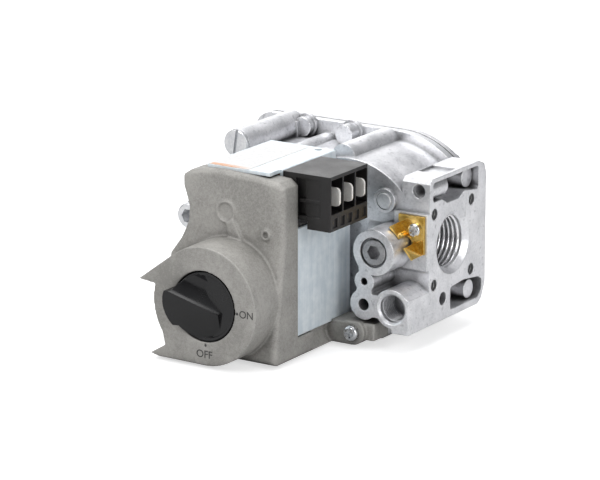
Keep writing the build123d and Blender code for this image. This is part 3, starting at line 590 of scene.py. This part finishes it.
pipe_thread = {"Radius": 9.35 * MM, "Pitch": 1.81 * MM, "Length": 11.4 * MM,
               "Depth": 0.95 * MM}
INLET_X = round(cad_box[0][0] / MM, 3)
PORT_LEAD = 2.3                # how far in from the face a port's thread starts
for name, start, inwards in (("outlet_port_thread", -PORT_LEAD, -1),
                             ("inlet_port_thread", INLET_X + PORT_LEAD, 1)):
    ridge = thread_in_hole(pipe_thread, (start, 0, 0), (inwards, 0, 0))
    new_piece(name, joined([ridge], name), cut_metal, "valve")

SCREWS_AT = (-12.5, 12.5)
SCREW_LEAD = 0.9               # how far in from the face a screw's thread starts
outlet_screw = {"Radius": 2.05 * MM, "Pitch": 0.7 * MM, "Length": 7.0 * MM,
                "Depth": 0.28 * MM}
inlet_screw = dict(outlet_screw, Radius=2.45 * MM)
screw_holes = [thread_in_hole(screw, (x, y, z), (inwards, 0, 0))
               for screw, x, inwards in ((outlet_screw, -SCREW_LEAD, -1),
                                         (inlet_screw, INLET_X + SCREW_LEAD, 1))
               for y in SCREWS_AT for z in SCREWS_AT]
bracket_thread = {"Radius": 2.5 * MM, "Pitch": 0.8 * MM, "Length": 8.0 * MM,
                  "Depth": 0.32 * MM}
pilot_thread = {"Radius": 4.85 * MM, "Pitch": 1.0 * MM, "Length": 7.5 * MM,
                "Depth": 0.4 * MM}
screw_holes.append(thread_in_hole(bracket_thread, (-4.5, -14.4, 20.6), (0, 1, 0)))
screw_holes.append(thread_in_hole(pilot_thread, (-6.6, -27.4, -17.9), (0, 1, 0)))
new_piece("small_hole_threads", joined(screw_holes, "small_threads"), body_metal, "valve")


# %% [markdown]
# ## Rims round the screw holes
#
# A tap pushes up a thin burr round each hole's mouth, which catches the light.  Each rim
# is a small ring of quads, swept by two loops of angles: one round the hole, one round
# the burr's own section.

# %% Hole rims
RIM_X, RIM_RADIUS = -0.25, 2.35
RIM_WIRE, RIM_LIFT = 0.32 * MM, 0.10 * MM
AROUND, ACROSS = 40, 8


def hole_rim(place, radius):
    """The burr that a tap raises round a hole's mouth: a low ring with a round top."""
    work = bmesh.new()
    rows = []
    for step in range(AROUND):
        turn = 2 * math.pi * step / AROUND
        row = []
        for index in range(ACROSS):
            side = 2 * math.pi * index / ACROSS
            reach = radius * MM + RIM_WIRE * math.cos(side)
            row.append(work.verts.new((RIM_LIFT + RIM_WIRE * 0.5 * math.sin(side),
                                       reach * math.cos(turn), reach * math.sin(turn))))
        rows.append(row)
    for step, row in enumerate(rows):
        after = rows[(step + 1) % AROUND]
        for index in range(ACROSS):
            further = (index + 1) % ACROSS
            work.faces.new((row[index], row[further], after[further], after[index]))
    bmesh.ops.translate(work, verts=work.verts, vec=Vector(place) * MM)
    mesh = bpy.data.meshes.new("rim")
    work.to_mesh(mesh)
    work.free()
    mesh.shade_smooth()
    return mesh


rims = [hole_rim((RIM_X, y, z), RIM_RADIUS) for y in SCREWS_AT for z in SCREWS_AT]
new_piece("outlet_hole_rims", joined(rims, "rims"), screw_metal, "valve")
print("rims:", len(rims))


# %% [markdown]
# ## Springs
#
# Each spring is copied into a piece of its own with the spring finish, and its CAD solid
# is hidden.

# %% Springs
def working_spring(node_name):
    """A copy of the spring as a piece with the spring finish, in place of its CAD solid."""
    coil = new_piece(node_name + "_coil", merged_copy(node_name), spring_metal, "valve")
    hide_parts(node_name)
    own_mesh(coil)


working_spring("main_valve_spring")
working_spring("main_plunger_spring")
working_spring("pilot_plunger_spring")
working_spring("regulator_spring")


# %% [markdown]
# ## The words by the knob
#
# Two plain words show which way the knob turns.  They are text curves with a hair of
# thickness, made into meshes first and then stood up on the face of the boss.

# %% ON and OFF
def marking(name, words, height, centre):
    """Words on a face that looks along -Y; height in millimetres."""
    curve = bpy.data.curves.new(name, "FONT")
    curve.body = words
    curve.size = height / 0.7 * MM
    curve.align_x = "CENTER"
    curve.align_y = "CENTER"
    curve.extrude = 0.05 * MM
    curve.offset = 0.02 * MM
    holder = bpy.data.objects.new(name + "_work", curve)
    bpy.context.scene.collection.objects.link(holder)
    mesh = plain_mesh(holder, name)
    bpy.data.objects.remove(holder)
    upright = Matrix.Rotation(math.pi / 2, 4, "X")
    mesh.transform(Matrix.Translation(Vector(centre) * MM) @ upright)
    return new_piece(name, mesh, ink, "valve")


def dot(name, centre, radius):
    """A small round mark, slightly domed."""
    work = bmesh.new()
    bmesh.ops.create_uvsphere(work, u_segments=16, v_segments=8, radius=radius * MM)
    bmesh.ops.scale(work, verts=work.verts, vec=(1.0, 0.25, 1.0))
    bmesh.ops.translate(work, verts=work.verts, vec=Vector(centre) * MM)
    mesh = bpy.data.meshes.new(name)
    work.to_mesh(mesh)
    work.free()
    return new_piece(name, mesh, ink, "valve")


boss_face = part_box("operator_casting")[0][1] / MM
marking("word_on", "ON", 2.5, (-33.1, boss_face, -12.2))
marking("word_off", "OFF", 2.6, (-50.0, boss_face, -28.4))
dot("dot_on", (-36.8, boss_face, -12.2), 0.45)
dot("dot_off", (-49.5, boss_face, -25.2), 0.45)
print("boss face at y =", round(boss_face, 2), "mm")


# %% [markdown]
# ## The studio
#
# The object stands on a white table under big soft lights.  The table glows a little, for
# the camera alone, so it runs out into the white background and only the soft shadow
# shows.  Metal needs something darker to reflect, so the background that it sees is a grey
# gradient, and only the camera sees that as white too.

# %% Table, background and lights
floor_z = cad_box[0][2]
floor_mesh = bpy.data.meshes.new("table")
HALF_TABLE = 4.0
corners = [(x * HALF_TABLE, y * HALF_TABLE, floor_z)
           for x, y in ((-1, -1), (1, -1), (1, 1), (-1, 1))]
floor_mesh.from_pydata(corners, [], [(0, 1, 2, 3)])
floor = bpy.data.objects.new("table", floor_mesh)
bpy.context.scene.collection.objects.link(floor)
table_finish = Finish("white_table")
straight = table_finish.node("ShaderNodeLightPath")["Is Camera Ray"]
floor_mesh.materials.append(table_finish.done(colour=(0.62, 0.62, 0.62), roughness=0.9,
                                               glow=straight * 0.62,
                                               glow_colour=(1.0, 1.0, 1.0)))

world = bpy.data.worlds.new("studio")
bpy.context.scene.world = world
world.use_nodes = True
sky = world.node_tree
sky.nodes.clear()
direction = sky.nodes.new("ShaderNodeTexCoord")
heights = sky.nodes.new("ShaderNodeSeparateXYZ")
gradient = sky.nodes.new("ShaderNodeValToRGB")
gradient.color_ramp.elements[0].position = 0.0
gradient.color_ramp.elements[0].color = (0.10, 0.10, 0.105, 1)
gradient.color_ramp.elements[1].position = 0.8
gradient.color_ramp.elements[1].color = (0.42, 0.425, 0.44, 1)
ray = sky.nodes.new("ShaderNodeLightPath")
seen = sky.nodes.new("ShaderNodeMix")
seen.data_type = "RGBA"
seen.inputs[7].default_value = (1.0, 1.0, 1.0, 1)
background = sky.nodes.new("ShaderNodeBackground")
world_output = sky.nodes.new("ShaderNodeOutputWorld")
sky.links.new(direction.outputs["Generated"], heights.inputs[0])
sky.links.new(heights.outputs["Z"], gradient.inputs[0])
sky.links.new(ray.outputs["Is Camera Ray"], seen.inputs[0])
sky.links.new(gradient.outputs[0], seen.inputs[6])
sky.links.new(seen.outputs[2], background.inputs[0])
sky.links.new(background.outputs[0], world_output.inputs[0])


def soft_box(name, place, size, power):
    """A rectangular area light that looks at the valve and isn't seen by the camera."""
    lamp = bpy.data.lights.new(name, "AREA")
    lamp.shape = "RECTANGLE"
    lamp.size, lamp.size_y = size
    lamp.energy = power
    holder = bpy.data.objects.new(name, lamp)
    holder.location = place
    holder.rotation_euler = (Vector(place) - AIM).to_track_quat("Z", "Y").to_euler()
    bpy.context.scene.collection.objects.link(holder)
    holder.visible_camera = False


soft_box("back_light", (-0.75, 1.15, 0.42), (1.2, 0.5), 3.2)
soft_box("key_light", (-0.35, -0.80, 0.60), (0.6, 0.5), 4.6)
soft_box("top_light", (-0.10, 0.10, 1.0), (0.9, 0.9), 8.5)
soft_box("right_light", (0.95, -0.35, 0.35), (0.5, 0.6), 4.4)
bpy.context.scene.view_settings.view_transform = "Standard"
